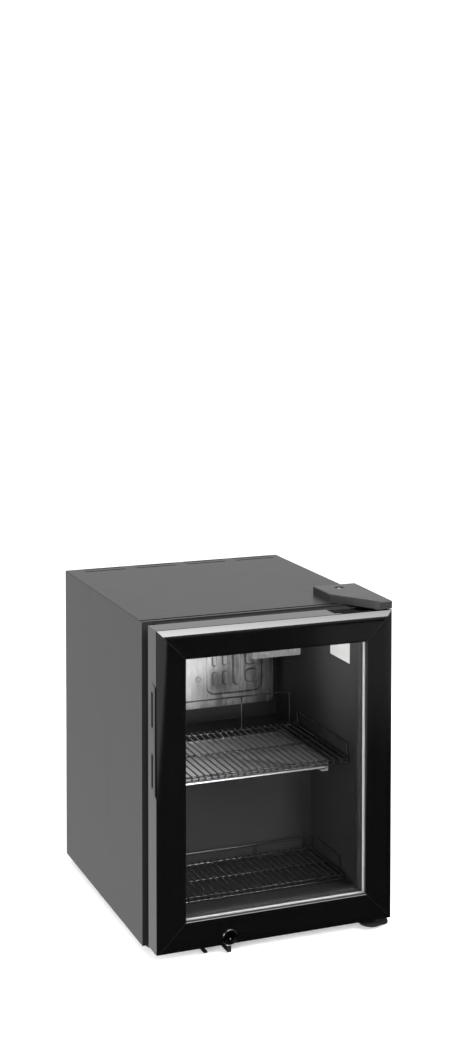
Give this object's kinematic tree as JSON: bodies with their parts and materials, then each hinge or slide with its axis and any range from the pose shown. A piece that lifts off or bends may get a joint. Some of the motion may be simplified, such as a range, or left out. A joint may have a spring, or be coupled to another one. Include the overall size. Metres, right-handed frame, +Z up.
{
  "type": "countertop beverage fridge",
  "caption": "Black countertop beverage fridge: a steel cabinet with a hinged glass door, wire shelves, a drip tray, an evaporator plate, a lamp, a lock and rubber feet.",
  "frame": {"origin": "on the surface that the feet stand on, below the middle of the object's box", "axes": "+X to the right as seen from the front, -Y out of the front, +Z up"},
  "size_m": [0.38, 0.46, 0.5],
  "materials": {
    "black_sheet": "satin black pre-painted sheet",
    "zinc_sheet": "galvanised sheet",
    "room_plastic": "dark vacuum-formed plastic",
    "foam": "rigid foam",
    "screw_steel": "zinc-plated steel",
    "plate_aluminium": "brushed aluminium",
    "spacer_aluminium": "perforated aluminium",
    "lens_plastic": "clear ribbed plastic",
    "white_plastic": "white plastic",
    "chrome_wire": "bright plated wire",
    "tray_steel": "bright steel sheet",
    "door_gloss": "gloss black",
    "black_plastic": "satin black plastic",
    "black_rubber": "matt rubber",
    "pane_glass": "clear float glass",
    "lock_chrome": "chrome plate",
    "pot_paint": "black stove enamel",
    "copper": "bare copper"
  },
  "bodies": {
    "cabinet": {"outer_wrap": "black_sheet", "base_pan": "black_sheet", "liner": "room_plastic", "breaker_frame": "room_plastic", "back_sheet": "zinc_sheet", "insulation_foam": "foam", "rear_cover": "black_sheet", "rear_cover_screws": "screw_steel", "evaporator_plate": "plate_aluminium", "evaporator_screws": "screw_steel", "lamp_housing": "black_plastic", "lamp_lens": "lens_plastic", "wall_plate": "white_plastic", "shelf_rails": "room_plastic", "top_hinge_plate": "black_sheet", "top_hinge_pin": "screw_steel", "top_hinge_screws": "screw_steel", "bottom_hinge_plate": "black_sheet", "bottom_hinge_pin": "screw_steel", "bottom_hinge_screws": "screw_steel", "hinge_cover": "black_plastic", "hinge_cover_screw": "screw_steel", "strike_plate": "black_sheet", "front_right_foot": "black_rubber", "front_left_foot": "black_rubber", "rear_feet": "black_rubber", "compressor": "pot_paint", "compressor_plate": "black_sheet", "compressor_grommets": "black_rubber", "compressor_bolts": "screw_steel", "relay_cover": "black_plastic", "condenser_tube": "pot_paint", "condenser_wires": "pot_paint", "discharge_pipe": "copper", "suction_pipe": "copper", "filter_drier": "copper", "thermostat_body": "black_plastic", "cable_gland": "black_plastic"},
    "door": {"left_stile": "door_gloss", "right_stile": "door_gloss", "top_rail": "door_gloss", "bottom_rail": "door_gloss", "corner_keys": "black_plastic", "front_pane": "pane_glass", "rear_pane": "pane_glass", "pane_spacer": "spacer_aluminium", "glazing_seal": "black_rubber", "pane_retainer": "black_plastic", "door_gasket": "black_rubber", "grip_insert": "black_plastic", "hinge_bushes": "black_plastic", "lock_barrel": "lock_chrome"},
    "lock": {"lock_plug": "lock_chrome", "lock_cam": "screw_steel"},
    "thermostat_knob": {"thermostat_knob": "black_plastic"},
    "upper_shelf": {"upper_shelf": "chrome_wire", "tray_hangers": "tray_steel"},
    "lower_shelf": {"lower_shelf": "chrome_wire"},
    "drip_tray": {"drip_tray": "tray_steel"}
  },
  "joints": [
    {"name": "door_hinge", "type": "hinge", "parent": "cabinet", "child": "door", "pos_m": [0.172, -0.206, 0.25], "axis": [0, 0, 1], "range_deg": [0, 120]},
    {"name": "lock_turn", "type": "hinge", "parent": "door", "child": "lock", "pos_m": [-0.076, -0.22, 0.031], "axis": [0, -1, 0], "range_deg": [0, 90]},
    {"name": "knob_turn", "type": "hinge", "parent": "cabinet", "child": "thermostat_knob", "pos_m": [-0.11, 0.225, 0.072], "axis": [0, -1, 0], "range_deg": [0, 270]},
    {"name": "upper_shelf_slide", "type": "slide", "parent": "cabinet", "child": "upper_shelf", "axis": [0, -1, 0], "range_m": [0, 0.04]},
    {"name": "lower_shelf_slide", "type": "slide", "parent": "cabinet", "child": "lower_shelf", "axis": [0, -1, 0], "range_m": [0, 0.05]},
    {"name": "drip_tray_slide", "type": "slide", "parent": "upper_shelf", "child": "drip_tray", "axis": [0, -1, 0], "range_m": [0, 0.04]}
  ]
}
